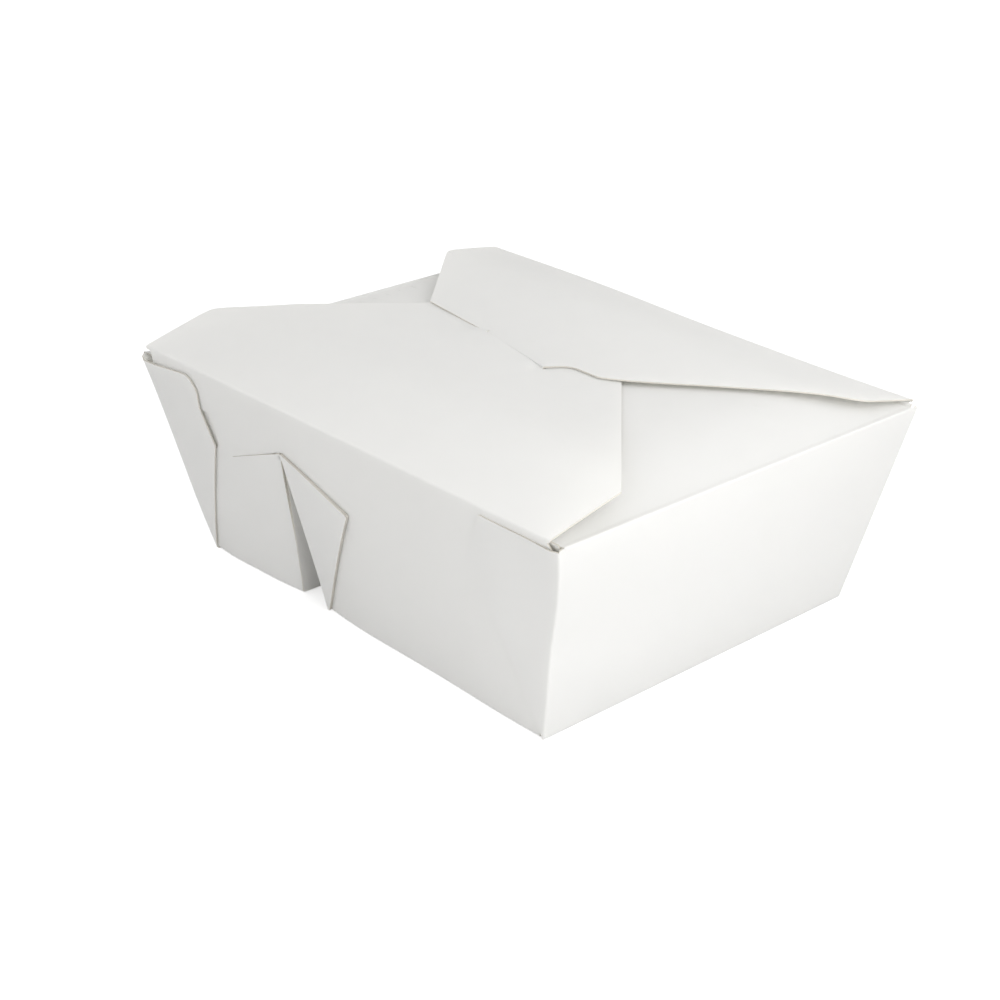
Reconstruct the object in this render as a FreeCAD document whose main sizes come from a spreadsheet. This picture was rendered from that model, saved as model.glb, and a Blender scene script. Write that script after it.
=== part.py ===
# Two-compartment takeout box, folded from one blank of white paperboard.
# Millimetres, +Z up. The origin is on the table, under the middle of the rim.
# +X points to the end wall of the large compartment, -Y to the long wall whose
# flap carries the slit. The flap on the +Y wall closes last and has the tab.

import FreeCAD, Part
import math
import os

import Sketcher

Vector = FreeCAD.Vector
doc = FreeCAD.newDocument("takeout_box")


# Driving sizes

DRIVING_SIZES = (
    ("board", 0.45, "thickness of the paperboard"),
    ("rim_length", 190.0, "outside length at the rim"),
    ("rim_width", 146.0, "outside width at the rim"),
    ("base_length", 155.0, "outside length on the table"),
    ("base_width", 124.0, "outside width on the table"),
    ("base_shift", 2.5, "middle of the base, towards the large compartment"),
    ("rim_rise", 65.0, "height of the end walls"),
    ("crease_rise", 68.0, "height of the creases of the two lid flaps"),
    ("relief_radius", 1.9, "radius of the relief hole at each top corner"),
    ("relief_depth", 1.2, "reach of a relief hole below the rim"),
    ("divider_place", -25.0, "crest of the floor fold, from the middle"),
    ("divider_rise", 51.0, "height of the crest of the floor fold"),
    ("divider_spread", 14.0, "distance between the feet of the floor fold"),
    ("gusset_drop", 0.5, "top edge of the corner gussets, below the rim"),
    ("right_gusset_reach", 30.0, "top edge of the gusset by the large end"),
    ("right_fold_inset", 35.0, "end of that gusset's fold, from the corner edge"),
    ("right_fold_rise", 51.0, "end of that fold, up the slope"),
    ("left_gusset_reach", 22.0, "top edge of the gusset by the small end"),
    ("left_shoulder_inset", 26.2, "shoulder of that gusset, from the corner edge"),
    ("left_shoulder_rise", 62.0, "shoulder of that gusset, up the slope"),
    ("left_fold_inset", 25.6, "end of that gusset's fold, from the corner edge"),
    ("left_fold_rise", 44.0, "end of that fold, up the slope"),
    ("kite_reach", 20.5, "corner of the divider gusset, from the fold's foot"),
    ("kite_rise", 42.3, "corner of the divider gusset, up the slope"),
    ("side_panel_dip", 28.0, "low point of the small side panel, from the crest"),
    ("side_panel_rise", 41.9, "low point of the small side panel, up the slope"),
    ("flap_end_gap", 0.5, "end of a lid flap, short of the rim's end"),
    ("crease_gap", 0.25, "clear board between a flap and its crease line"),
    ("front_crown_depth", 26.0, "highest line of the slit flap, from its crease"),
    ("front_crown_lift", 6.4, "highest line of the slit flap, above its crease"),
    ("front_left_corner", 26.0, "side corner by the small end, from the crease"),
    ("front_right_corner", 24.0, "side corner by the large end, from the crease"),
    ("front_edge_gap", 37.5, "free edge of the slit flap, from the other crease"),
    ("front_left_taper", 32.0, "slant of the slit flap's left side"),
    ("front_right_taper", 86.5, "slant of the slit flap's right side"),
    ("lock_gap", 67.5, "lowest visible line of the slit flap, from the other crease"),
    ("lock_drop", 0.3, "that line, below the crease"),
    ("tail_drop", 1.1, "free edge of the slit flap, below the crease"),
    ("back_crown_depth", 21.5, "highest line of the tab flap, from its crease"),
    ("back_crown_lift", 3.3, "highest line of the tab flap, above its crease"),
    ("back_left_corner", 22.0, "side corner by the small end, from the crease"),
    ("back_right_corner", 18.5, "side corner by the large end, from the crease"),
    ("shoulder_left_x", -67.5, "left end of the tab flap's front edge"),
    ("shoulder_left_depth", 52.6, "that end, from the crease"),
    ("tab_left_x", -32.7, "left end of the tab"),
    ("tab_left_step", 5.3, "that end, in front of the shoulder's left end"),
    ("tab_right_x", 3.6, "right end of the tab"),
    ("tab_right_step", 9.0, "that end, in front of the tab's left end"),
    ("curve_left_x", 7.5, "first bend of the wavy edge"),
    ("curve_left_setback", 7.6, "that bend, behind the tab's right end"),
    ("curve_right_x", 20.5, "second bend of the wavy edge"),
    ("curve_right_setback", 7.2, "that bend, behind the tab's right end"),
    ("curve_radius", 6.0, "radius of both bends of the wavy edge"),
    ("tab_reach", 8.0, "length of the tab below the lid"),
    ("slit_side_gap", 0.5, "clearance at each end of the slit"),
    ("slit_face_gap", 0.35, "clearance on each face of the tab"),
    ("lay_gap", 0.35, "clearance between the two lid flaps at the slit"),
    ("shoulder_lift", 0.4, "rise of the tab flap's left shoulder above that"),
    ("corner_radius", 6.0, "rounding of the lid flaps' side corners"),
    ("end_flap_root", 140.0, "width of an end flap at its crease"),
    ("end_flap_radius", 14.0, "rounding of an end flap's tip"),
    ("right_end_flap_depth", 74.0, "depth of the end flap over the large part"),
    ("right_end_flap_tip", 56.0, "width of that flap's tip"),
    ("left_end_flap_depth", 52.0, "depth of the end flap over the small part"),
    ("left_end_flap_tip", 68.0, "width of that flap's tip"),
)

sizes = doc.addObject("Spreadsheet::Sheet", "Sizes")
for row, (alias, value, meaning) in enumerate(DRIVING_SIZES, start=1):
    sizes.set(f"A{row}", meaning)
    sizes.set(f"B{row}", str(value))
    sizes.setAlias(f"B{row}", alias)
doc.recompute()

# Lines of the tub, as expressions of the sheet

BASE_LEFT = "(Sizes.base_shift - Sizes.base_length / 2)"
BASE_RIGHT = "(Sizes.base_shift + Sizes.base_length / 2)"
LEFT_FLARE = f"(Sizes.rim_length / 2 + {BASE_LEFT})"
RIGHT_FLARE = f"(Sizes.rim_length / 2 - {BASE_RIGHT})"
SIDE_FLARE = "((Sizes.rim_width - Sizes.base_width) / 2)"
SLANT = f"sqrt(Sizes.rim_rise ^ 2 + {SIDE_FLARE} ^ 2)"
DIVIDER_HALF = "(Sizes.divider_spread / 2)"
CLEAR = "(Sizes.board * 4)"  # overshoot of a cutting solid past what it cuts


def inset(flare, rise="Sizes.rim_rise"):
    """Board thickness measured level, through a wall that leans by flare over rise."""
    return f"(Sizes.board * sqrt(1 + ({flare} / {rise}) ^ 2))"


def left_at(height, inward="0"):
    """x of the small end wall at a height."""
    return f"({BASE_LEFT} - {LEFT_FLARE} * ({height}) / Sizes.rim_rise + {inward})"


def right_at(height, inward="0"):
    """x of the large end wall at a height."""
    return f"({BASE_RIGHT} + {RIGHT_FLARE} * ({height}) / Sizes.rim_rise - {inward})"


def side_at(height, inward="0"):
    """Half the width between the long walls at a height."""
    return f"(Sizes.base_width / 2 + {SIDE_FLARE} * ({height}) / Sizes.rim_rise - {inward})"


def bind(thing, bindings):
    """Bind properties of an object to expressions of the sheet."""
    for name, expression in bindings.items():
        thing.setExpression(name, expression)
    return thing


# Tub: four leaning walls and a floor

def tapered_block(name, low, high, ends, sides):
    """Solid between two heights whose faces follow the walls, moved inward."""
    block = doc.addObject("Part::Wedge", name)
    block.Placement.Rotation = FreeCAD.Rotation(Vector(1, 0, 0), 90)
    left_inset, right_inset = ends
    return bind(block, {
        "Ymin": low,
        "Ymax": high,
        "Xmin": left_at(low, left_inset),
        "Xmax": right_at(low, right_inset),
        "X2min": left_at(high, left_inset),
        "X2max": right_at(high, right_inset),
        "Zmin": "-" + side_at(low, sides),
        "Zmax": side_at(low, sides),
        "Z2min": "-" + side_at(high, sides),
        "Z2max": side_at(high, sides),
    })


def cut(name, base, tool):
    """Base less tool."""
    result = doc.addObject("Part::Cut", name)
    result.Base = base
    result.Tool = tool
    return result


def fuse(name, parts):
    """Union of several shapes."""
    result = doc.addObject("Part::MultiFuse", name)
    result.Shapes = parts
    return result


outside = tapered_block("tub_outside", "0", "Sizes.crease_rise", ("0", "0"), "0")
inside = tapered_block(
    "tub_inside",
    "Sizes.board",
    f"(Sizes.crease_rise + {CLEAR})",
    (inset(LEFT_FLARE), inset(RIGHT_FLARE)),
    inset(SIDE_FLARE),
)
shell = cut("tub_shell", outside, inside)

# The end walls stop at the rim, below the creases of the long walls.
above_rim = bind(doc.addObject("Part::Box", "above_rim"), {
    "Length": "Sizes.rim_length * 2",
    "Width": f"2 * {side_at('Sizes.rim_rise', inset(SIDE_FLARE))}",
    "Height": f"Sizes.crease_rise - Sizes.rim_rise + {CLEAR}",
    "Placement.Base.x": "-Sizes.rim_length",
    "Placement.Base.y": f"-{side_at('Sizes.rim_rise', inset(SIDE_FLARE))}",
    "Placement.Base.z": "Sizes.rim_rise",
})
open_tub = cut("open_tub", shell, above_rim)

# Divider: the floor is folded up into an inverted V, open from below

def divider_block(name, inward, low):
    """Three-sided bar along Y under the crest of the floor fold."""
    bar = doc.addObject("Part::Wedge", name)
    bar.Placement.Rotation = FreeCAD.Rotation(Vector(1, 0, 0), 90)
    half = f"({DIVIDER_HALF} * (1 - ({low}) / Sizes.divider_rise) - {inward})"
    return bind(bar, {
        "Ymin": low,
        "Ymax": f"Sizes.divider_rise * (1 - {inward} / {DIVIDER_HALF})",
        "Xmin": f"Sizes.divider_place - {half}",
        "Xmax": f"Sizes.divider_place + {half}",
        "X2min": "Sizes.divider_place",
        "X2max": "Sizes.divider_place",
        "Zmin": "-Sizes.rim_width",
        "Zmax": "Sizes.rim_width",
        "Z2min": "-Sizes.rim_width",
        "Z2max": "Sizes.rim_width",
    })


divider_skin = doc.addObject("Part::Common", "divider_skin")
divider_skin.Base = divider_block("divider_top", "0", "0")
divider_skin.Tool = outside
divider_hollow = divider_block(
    "divider_hollow", inset(DIVIDER_HALF, "Sizes.divider_rise"), f"-{CLEAR}")
folded_tub = cut("folded_tub", fuse("tub_and_fold", [open_tub, divider_skin]), divider_hollow)


# Gussets and side panels: layers folded flat on the outside of the long walls

def corner_left(rise):
    """x of the small end's corner edge, at a distance up the slope of a long wall."""
    return f"({BASE_LEFT} - {LEFT_FLARE} * ({rise}) / {SLANT})"


def corner_right(rise):
    """x of the large end's corner edge, at a distance up the slope of a long wall."""
    return f"({BASE_RIGHT} + {RIGHT_FLARE} * ({rise}) / {SLANT})"


def outline_sketch(name, corners):
    """Closed sketch whose corners are pairs of expressions.

    It starts as a regular polygon, and the bound distances bring each corner to its place.
    """
    sketch = doc.addObject("Sketcher::SketchObject", name)
    count = len(corners)
    turns = [2 * math.pi * index / count for index in range(count)]
    places = [Vector(math.cos(turn), math.sin(turn), 0) * sizes.rim_rise for turn in turns]
    for index in range(count):
        sketch.addGeometry(Part.LineSegment(places[index], places[(index + 1) % count]))
    for index in range(count):
        sketch.addConstraint(Sketcher.Constraint("Coincident", index, 2, (index + 1) % count, 1))
    for index, corner in enumerate(corners):
        for axis, expression, start in zip(("DistanceX", "DistanceY"), corner, places[index]):
            row = sketch.addConstraint(Sketcher.Constraint(axis, -1, 1, index, 1, start))
            sketch.setExpression(f"Constraints[{row}]", expression)
    return sketch


def wall_layer(name, corners, layers):
    """Flat layers of board lying on the outside of the front wall."""
    sketch = outline_sketch(name + "_outline", corners)
    sketch.Placement.Rotation = FreeCAD.Rotation(Vector(1, 0, 0), 90)
    bind(sketch, {
        "Placement.Rotation.Angle": f"90 deg + atan({SIDE_FLARE} / Sizes.rim_rise)",
        "Placement.Base.y": "-Sizes.base_width / 2",
    })
    plate = doc.addObject("Part::Extrusion", name)
    plate.Base = sketch
    plate.DirMode = "Normal"
    plate.Solid = True
    bind(plate, {"LengthFwd": f"Sizes.board * {layers}"})
    return plate


def mirrored(plate):
    """The same layers on the back wall."""
    copy = doc.addObject("Part::Mirroring", plate.Name + "_back")
    copy.Source = plate
    copy.Normal = Vector(0, 1, 0)
    return copy


GUSSET_TOP = f"({SLANT} - Sizes.gusset_drop)"
CREST_RISE = f"(Sizes.divider_rise * {SLANT} / Sizes.rim_rise)"

small_side_panel = wall_layer("small_side_panel", [
    (corner_left("0"), "0"),
    (f"Sizes.divider_place - {DIVIDER_HALF}", "0"),
    ("Sizes.divider_place", CREST_RISE),
    ("Sizes.divider_place - Sizes.side_panel_dip", "Sizes.side_panel_rise"),
    (corner_left("Sizes.side_panel_rise"), "Sizes.side_panel_rise"),
], 1)
divider_gusset = wall_layer("divider_gusset", [
    (f"Sizes.divider_place + {DIVIDER_HALF}", "0"),
    (f"Sizes.divider_place + {DIVIDER_HALF} + Sizes.kite_reach", "Sizes.kite_rise"),
    ("Sizes.divider_place + Sizes.board", CREST_RISE),
], 2)
large_corner_gusset = wall_layer("large_corner_gusset", [
    (corner_right("0"), "0"),
    (corner_right(GUSSET_TOP), GUSSET_TOP),
    (f"{corner_right(GUSSET_TOP)} - Sizes.right_gusset_reach", GUSSET_TOP),
    (f"{corner_right('Sizes.right_fold_rise')} - Sizes.right_fold_inset", "Sizes.right_fold_rise"),
], 2)
small_corner_gusset = wall_layer("small_corner_gusset", [
    (corner_left("0"), "0"),
    (f"{corner_left('Sizes.left_fold_rise')} + Sizes.left_fold_inset", "Sizes.left_fold_rise"),
    (f"{corner_left('Sizes.left_shoulder_rise')} + Sizes.left_shoulder_inset",
     "Sizes.left_shoulder_rise"),
    (f"{corner_left(GUSSET_TOP)} + Sizes.left_gusset_reach", GUSSET_TOP),
    (corner_left(GUSSET_TOP), GUSSET_TOP),
], 3)
front_layers = [small_side_panel, divider_gusset, large_corner_gusset, small_corner_gusset]
doc.recompute()
back_layers = [mirrored(plate) for plate in front_layers]


# Lid flaps: bowed sheets with one curve from crease to free edge

board = sizes.board
side_flare = (sizes.rim_width - sizes.base_width) / 2
crease_y = sizes.base_width / 2 + side_flare * sizes.crease_rise / sizes.rim_rise
half_flap = sizes.rim_length / 2 - sizes.flap_end_gap
hinge_y = crease_y
hinge_z = sizes.crease_rise
headroom = 4 * (sizes.front_crown_lift + sizes.tail_drop)  # reach of a plan outline's prism
LID_LOW = sizes.crease_rise - headroom
LID_HIGH = sizes.crease_rise + headroom
margin = 4 * board  # how far a sheet or an outline runs past the edge that the other gives


def bowed_sheet(top_points):
    """Sheet along X under a smooth curve through points (y, z), wider than its flap."""
    start_x = -half_flap - margin
    curve = Part.BSplineCurve()
    curve.interpolate([Vector(start_x, y, z) for y, z in top_points])
    top = curve.toShape()
    bottom = top.translated(Vector(0, 0, -board))
    ends = [
        Part.makeLine(top.valueAt(limit), bottom.valueAt(limit))
        for limit in (curve.FirstParameter, curve.LastParameter)
    ]
    section = Part.Face(Part.Wire(Part.__sortEdges__([top, bottom] + ends)))
    return section.extrude(Vector(-2 * start_x, 0, 0)), curve


def height_on(curve, y):
    """Height of a sheet's top curve over a place y."""
    x = curve.StartPoint.x
    upright = Part.LineSegment(Vector(x, y, -headroom), Vector(x, y, LID_HIGH))
    return curve.intersectCC(upright)[0].Z


def plan_prism(corners, low, high):
    """Upright prism over rounded corners (x, y, radius)."""
    count = len(corners)
    arcs = []
    for index, (x, y, radius) in enumerate(corners):
        here = Vector(x, y, low)
        back = Vector(*corners[index - 1][:2], low) - here
        ahead = Vector(*corners[(index + 1) % count][:2], low) - here
        if radius == 0:
            arcs.append((here, None, here))
            continue
        half_angle = back.getAngle(ahead) / 2
        run = radius / math.tan(half_angle)
        middle = (back.normalize() + ahead.normalize()).normalize()
        reach = radius / math.sin(half_angle) - radius
        arcs.append((here + back * run, here + middle * reach, here + ahead * run))
    edges = []
    for index, (start, middle, end) in enumerate(arcs):
        if middle:
            edges.append(Part.Arc(start, middle, end).toShape())
        edges.append(Part.makeLine(end, arcs[(index + 1) % count][0]))
    return Part.Face(Part.Wire(edges)).extrude(Vector(0, 0, high - low))


# Slit flap, one piece with the front wall
front_crown_y = sizes.front_crown_depth - crease_y
lock_y = crease_y - sizes.lock_gap
front_edge_y = crease_y - sizes.front_edge_gap
front_top = [
    (-crease_y, sizes.crease_rise),
    (front_crown_y, sizes.crease_rise + sizes.front_crown_lift),
    ((front_crown_y + lock_y) / 2,
     sizes.crease_rise + (sizes.front_crown_lift - sizes.lock_drop) / 2),
    (lock_y, sizes.crease_rise - sizes.lock_drop),
    (front_edge_y + margin, sizes.crease_rise - sizes.tail_drop),
]
front_sheet, front_curve = bowed_sheet(front_top)
front_plan = [
    (-half_flap, -crease_y - margin, 0),
    (half_flap, -crease_y - margin, 0),
    (half_flap, sizes.front_right_corner - crease_y, 1),
    (half_flap - sizes.front_right_taper, front_edge_y, sizes.corner_radius),
    (sizes.front_left_taper - half_flap, front_edge_y, sizes.corner_radius),
    (-half_flap, sizes.front_left_corner - crease_y, sizes.corner_radius),
]
front_blank = front_sheet.common(plan_prism(front_plan, LID_LOW, LID_HIGH))

# The slit follows the tab's slanted line, so the tab swings out without touching it.
shoulder_y = crease_y - sizes.shoulder_left_depth
tab_left = Vector(sizes.tab_left_x, shoulder_y - sizes.tab_left_step, 0)
tab_right = Vector(sizes.tab_right_x, tab_left.y - sizes.tab_right_step, 0)
tab_line = (tab_right - tab_left).normalize()
slit_left = tab_left - tab_line * sizes.slit_side_gap
slit_right = tab_right + tab_line * sizes.slit_side_gap
slit_front = Vector(0, -sizes.slit_face_gap, 0)
slit_back = Vector(0, board + sizes.slit_face_gap, 0)
slit_plan = [
    (place.x, place.y, 0)
    for place in (
        slit_left + slit_front, slit_right + slit_front, slit_right + slit_back, slit_left + slit_back)
]
front_flap = doc.addObject("Part::Feature", "slit_flap")
front_flap.Shape = front_blank.cut(plan_prism(slit_plan, LID_LOW, LID_HIGH))


# End flaps: tucked in under the lid flaps, level with the rim

def end_flap(name, side, depth, tip):
    """Flap with a rounded tip on one end wall."""
    root_x = side * sizes.rim_length / 2
    tip_x = side * (sizes.rim_length / 2 - depth)
    plan = [
        (root_x, -sizes.end_flap_root / 2, 0),
        (root_x, sizes.end_flap_root / 2, 0),
        (tip_x, tip / 2, sizes.end_flap_radius),
        (tip_x, -tip / 2, sizes.end_flap_radius),
    ]
    flap = doc.addObject("Part::Feature", name)
    flap.Shape = plan_prism(plan, sizes.rim_rise - board, sizes.rim_rise)
    return flap


end_flaps = [
    end_flap("large_end_flap", 1, sizes.right_end_flap_depth, sizes.right_end_flap_tip),
    end_flap("small_end_flap", -1, sizes.left_end_flap_depth, sizes.left_end_flap_tip),
]

# Whole carton, less the relief holes and the strip above the back wall's crease

blank = fuse("folded_blank", [folded_tub] + front_layers + back_layers + [front_flap] + end_flaps)
reliefs = []
for end, end_sign in (("left", "-"), ("right", "")):
    for side, side_sign in (("front", "-"), ("back", "")):
        reliefs.append(bind(doc.addObject("Part::Cylinder", f"relief_{end}_{side}"), {
            "Radius": "Sizes.relief_radius",
            "Height": f"Sizes.crease_rise - Sizes.rim_rise + Sizes.relief_depth + {CLEAR}",
            "Placement.Base.x": f"{end_sign}Sizes.rim_length / 2",
            "Placement.Base.y": f"{side_sign}Sizes.rim_width / 2",
            "Placement.Base.z": "Sizes.rim_rise - Sizes.relief_depth",
        }))
above_back_crease = bind(doc.addObject("Part::Box", "above_back_crease"), {
    "Length": "Sizes.rim_length * 2",
    "Width": f"{CLEAR} * 4",
    "Height": f"{CLEAR} * 2",
    "Placement.Base.x": "-Sizes.rim_length",
    "Placement.Base.y": f"{side_at('Sizes.crease_rise')} - {CLEAR} * 2",
    "Placement.Base.z": "Sizes.crease_rise - Sizes.board - Sizes.crease_gap",
})
below_table = bind(doc.addObject("Part::Box", "below_table"), {
    "Length": "Sizes.rim_length * 2",
    "Width": "Sizes.rim_width * 2",
    "Height": f"{CLEAR} * 2",
    "Placement.Base.x": "-Sizes.rim_length",
    "Placement.Base.y": "-Sizes.rim_width",
    "Placement.Base.z": f"-{CLEAR} * 2",
})
carton = cut("carton", blank, fuse("cutouts", reliefs + [above_back_crease, below_table]))

# Tab flap, hinged on the back wall's crease

lay = board + sizes.lay_gap
back_crown = (crease_y - sizes.back_crown_depth, sizes.crease_rise + sizes.back_crown_lift)
over_shoulder = (
    shoulder_y, height_on(front_curve, shoulder_y) + lay + sizes.shoulder_lift)
over_tab = [
    (y, height_on(front_curve, y) + lay)
    for y in (tab_left.y, (tab_left.y + tab_right.y) / 2, tab_right.y - margin)
]
back_top = [
    (hinge_y - sizes.crease_gap, sizes.crease_rise),
    back_crown,
    ((back_crown[0] + over_shoulder[0]) / 2, (back_crown[1] + over_shoulder[1]) / 2),
    over_shoulder,
    *over_tab,
]
back_sheet, back_curve = bowed_sheet(back_top)
back_plan = [
    (half_flap, crease_y + margin, 0),
    (-half_flap, crease_y + margin, 0),
    (-half_flap, crease_y - sizes.back_left_corner, sizes.corner_radius),
    (sizes.shoulder_left_x, shoulder_y, 0),
    (tab_left.x, tab_left.y, 0),
    (tab_right.x, tab_right.y, 0),
    (sizes.curve_left_x, tab_right.y + sizes.curve_left_setback, sizes.curve_radius),
    (sizes.curve_right_x, tab_right.y + sizes.curve_right_setback, sizes.curve_radius),
    (half_flap, crease_y - sizes.back_right_corner, 1),
]
back_blank = back_sheet.common(plan_prism(back_plan, LID_LOW, LID_HIGH))

# The tab is a strip of the cone that the slanted line sweeps about the hinge.
hinge_point = Vector(0, hinge_y, hinge_z)
tab_root_z = height_on(back_curve, tab_left.y) - board / 2
root_angle = math.degrees(math.atan2(tab_root_z - hinge_z, hinge_y - tab_left.y))
sweep_angle = math.degrees(sizes.tab_reach / (hinge_y - tab_right.y))
corners = [
    Vector(place.x, place.y + shift, hinge_z)
    for place, shift in ((tab_left, 0), (tab_right, 0), (tab_right, board), (tab_left, board))
]
tab_root = Part.Face(Part.makePolygon(corners + corners[:1]))
tab_root.rotate(hinge_point, Vector(-1, 0, 0), root_angle)
tab = tab_root.revolve(hinge_point, Vector(1, 0, 0), sweep_angle + root_angle)

tab_flap = doc.addObject("Part::Feature", "tab_flap")
tab_flap.Shape = back_blank.fuse(tab).removeSplitter()

# Check and write

doc.recompute()
for thing in doc.Objects:
    for state in ("Invalid", "Error"):
        if state in thing.State:
            raise RuntimeError(f"{thing.Name} is {state}")

os.makedirs("parts", exist_ok=True)
for node in (carton, tab_flap):
    node.Label = node.Name
    shape = node.Shape
    if shape.isNull() or not shape.isValid() or len(shape.Solids) != 1:
        raise RuntimeError(f"{node.Label} is not one valid solid")
    shape.exportStep(f"parts/{node.Label}.step")
    box = shape.BoundBox
    print(f"{node.Label}: {shape.Volume:.0f} mm3, x {box.XMin:.2f} to {box.XMax:.2f}, "
          f"y {box.YMin:.2f} to {box.YMax:.2f}, z {box.ZMin:.2f} to {box.ZMax:.2f}")
print(f"hinge line at y {hinge_y:.3f}, z {hinge_z:.3f}")
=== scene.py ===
"""Two-compartment takeout box, built from folded sheets of white board.

Lengths are millimetres until a mesh is made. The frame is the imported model's:
+X points to the large compartment's end wall and -Y to the long wall whose flap has
the slit.
"""

import logging
import math
from dataclasses import dataclass, field
from enum import Enum
from typing import Callable, Sequence

import bmesh
import bpy
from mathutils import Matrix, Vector

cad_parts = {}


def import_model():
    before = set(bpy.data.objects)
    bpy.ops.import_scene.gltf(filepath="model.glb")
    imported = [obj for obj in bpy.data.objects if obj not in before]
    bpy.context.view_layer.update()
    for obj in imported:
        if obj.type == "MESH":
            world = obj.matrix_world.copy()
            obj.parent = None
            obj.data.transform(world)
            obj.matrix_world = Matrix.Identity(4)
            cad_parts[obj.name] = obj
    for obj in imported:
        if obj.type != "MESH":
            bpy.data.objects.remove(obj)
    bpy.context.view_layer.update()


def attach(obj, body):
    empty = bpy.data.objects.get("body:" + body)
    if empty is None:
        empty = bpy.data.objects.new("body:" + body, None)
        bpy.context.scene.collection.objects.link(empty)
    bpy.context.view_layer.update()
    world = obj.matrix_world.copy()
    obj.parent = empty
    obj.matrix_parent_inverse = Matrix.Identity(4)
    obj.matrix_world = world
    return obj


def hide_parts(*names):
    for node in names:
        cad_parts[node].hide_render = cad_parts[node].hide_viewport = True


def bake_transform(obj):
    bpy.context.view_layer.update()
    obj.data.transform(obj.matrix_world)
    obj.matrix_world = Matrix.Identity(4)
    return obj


LOG = logging.getLogger("takeout_box")
MM = 0.001
FOLD_SHARES = (-1, -0.6, -0.2, 0.2, 0.6, 1)
CORNER_TURN = 0.2

Flat = tuple[float, float]
Fold = Callable[[float, float], Vector]


class Side(Enum):
    """The long wall that a piece belongs to: the sign of its y."""

    FRONT = -1
    BACK = 1


class End(Enum):
    """The end wall that a piece belongs to: the sign of its x."""

    SMALL = -1
    LARGE = 1


def smooth_step(value: float, low: float, high: float) -> float:
    """Ramp from 0 to 1 with soft ends.

    Args:
        value: the number that is looked at.
        low: where the ramp starts.
        high: where the ramp ends.

    Returns:
        0 before low, 1 after high, and a smooth share between them.
    """
    share = min(max((value - low) / (high - low), 0.0), 1.0)
    return share * share * (3 - 2 * share)


def ripple(u: float, v: float, scale: float, seed: float) -> float:
    """Gentle unevenness of hand-folded board.

    Args:
        u: place along the board.
        v: place across the board.
        scale: rough length of one wave.
        seed: shifts the waves, so that no two sheets match.

    Returns:
        A number from about -1 to 1.
    """
    a = math.sin(u / scale * 1.7 + seed) * math.cos(v / scale * 1.3 + seed * 2.1)
    b = math.sin((u + v) / scale * 0.9 + seed * 3.7)
    c = math.cos((u * 0.6 - v) / scale * 2.3 + seed * 0.6)
    return (a + 0.7 * b + 0.4 * c) / 2.1


def turn_corner(before: Vector, corner: Vector, after: Vector, share: float) -> Vector:
    """Point on the rounded fold between two flat runs.

    Args:
        before: where the fold starts.
        corner: where the two runs would meet.
        after: where the fold ends.
        share: 0 at the start of the fold and 1 at its end.

    Returns:
        The point on the fold.
    """
    rest = 1 - share
    return before * rest * rest + corner * 2 * rest * share + after * share * share


def rounded(corners: Sequence[tuple[float, ...]]) -> list[Flat]:
    """Outline with rounded corners.

    Args:
        corners: places (u, v) or (u, v, radius).

    Returns:
        The outline's points.
    """
    points: list[Flat] = []
    count = len(corners)
    for index, corner in enumerate(corners):
        here = Vector(corner[:2])
        radius = corner[2] if len(corner) > 2 else 0
        if not radius:
            points.append(tuple(here))
            continue
        back = (Vector(corners[index - 1][:2]) - here).normalized()
        ahead = (Vector(corners[(index + 1) % count][:2]) - here).normalized()
        half = back.angle(ahead) / 2
        run = radius / math.tan(half)
        centre = here + (back + ahead).normalized() * radius / math.sin(half)
        start = here + back * run - centre
        sweep = start.angle_signed(here + ahead * run - centre)
        steps = max(3, math.ceil(abs(sweep) / CORNER_TURN))
        for step in range(steps + 1):
            turn = -sweep * step / steps
            cos, sin = math.cos(turn), math.sin(turn)
            points.append((centre.x + start.x * cos - start.y * sin,
                           centre.y + start.x * sin + start.y * cos))
    return points


def spaced(low: float, high: float, step: float) -> list[float]:
    """Even divisions between two places.

    Args:
        low: the first place.
        high: the last place.
        step: the widest division.

    Returns:
        The places, both ends included.
    """
    count = max(1, math.ceil((high - low) / step))
    return [low + (high - low) * index / count for index in range(count + 1)]


def fold_lines(middle: float, bend: float) -> list[float]:
    """Lines that keep a rounded fold round.

    Args:
        middle: middle of the fold.
        bend: half the length of the fold.

    Returns:
        The places of the lines.
    """
    return [middle + bend * share for share in FOLD_SHARES]


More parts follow.
